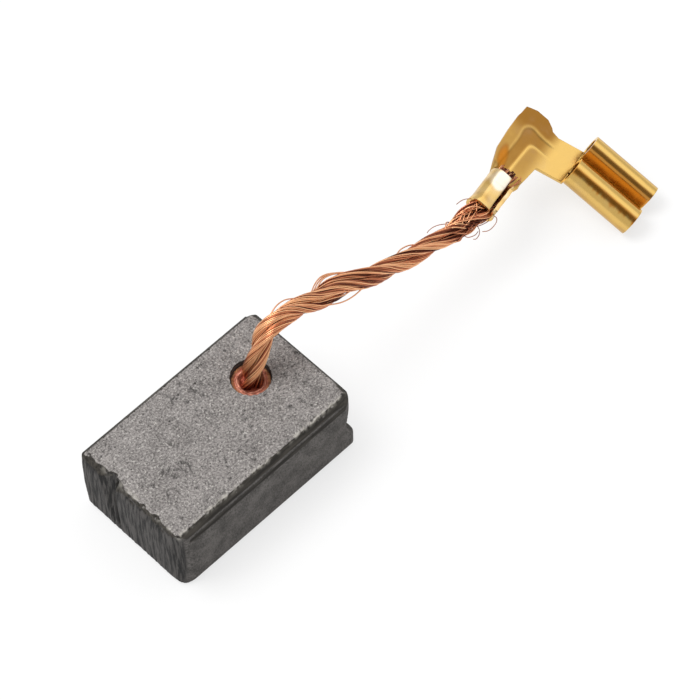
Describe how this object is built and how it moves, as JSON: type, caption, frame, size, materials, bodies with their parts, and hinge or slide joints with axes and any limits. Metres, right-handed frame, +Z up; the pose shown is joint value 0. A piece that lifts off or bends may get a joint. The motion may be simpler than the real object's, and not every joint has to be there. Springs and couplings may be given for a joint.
{
  "type": "carbon brush",
  "caption": "Rectangular carbon brush with a worn contact end, a spring groove, a stranded copper pigtail and a brass flag terminal for a push-on tab.",
  "frame": {"origin": "centre of the block's underside", "axes": "+X along the block towards its spring end and the pigtail, -X the contact face, +Z up out of the face that the pigtail leaves"},
  "size_m": [0.0445, 0.0117, 0.011],
  "materials": {
    "carbon_block": "matte pressed carbon, speckled",
    "copper_tamping": "matte compacted copper powder",
    "pigtail": "bare bunched copper strands",
    "terminal": "bright stamped brass strip"
  },
  "bodies": {
    "root": {"carbon_block": "carbon_block", "copper_tamping": "copper_tamping", "pigtail": "pigtail", "terminal": "terminal"}
  },
  "joints": []
}
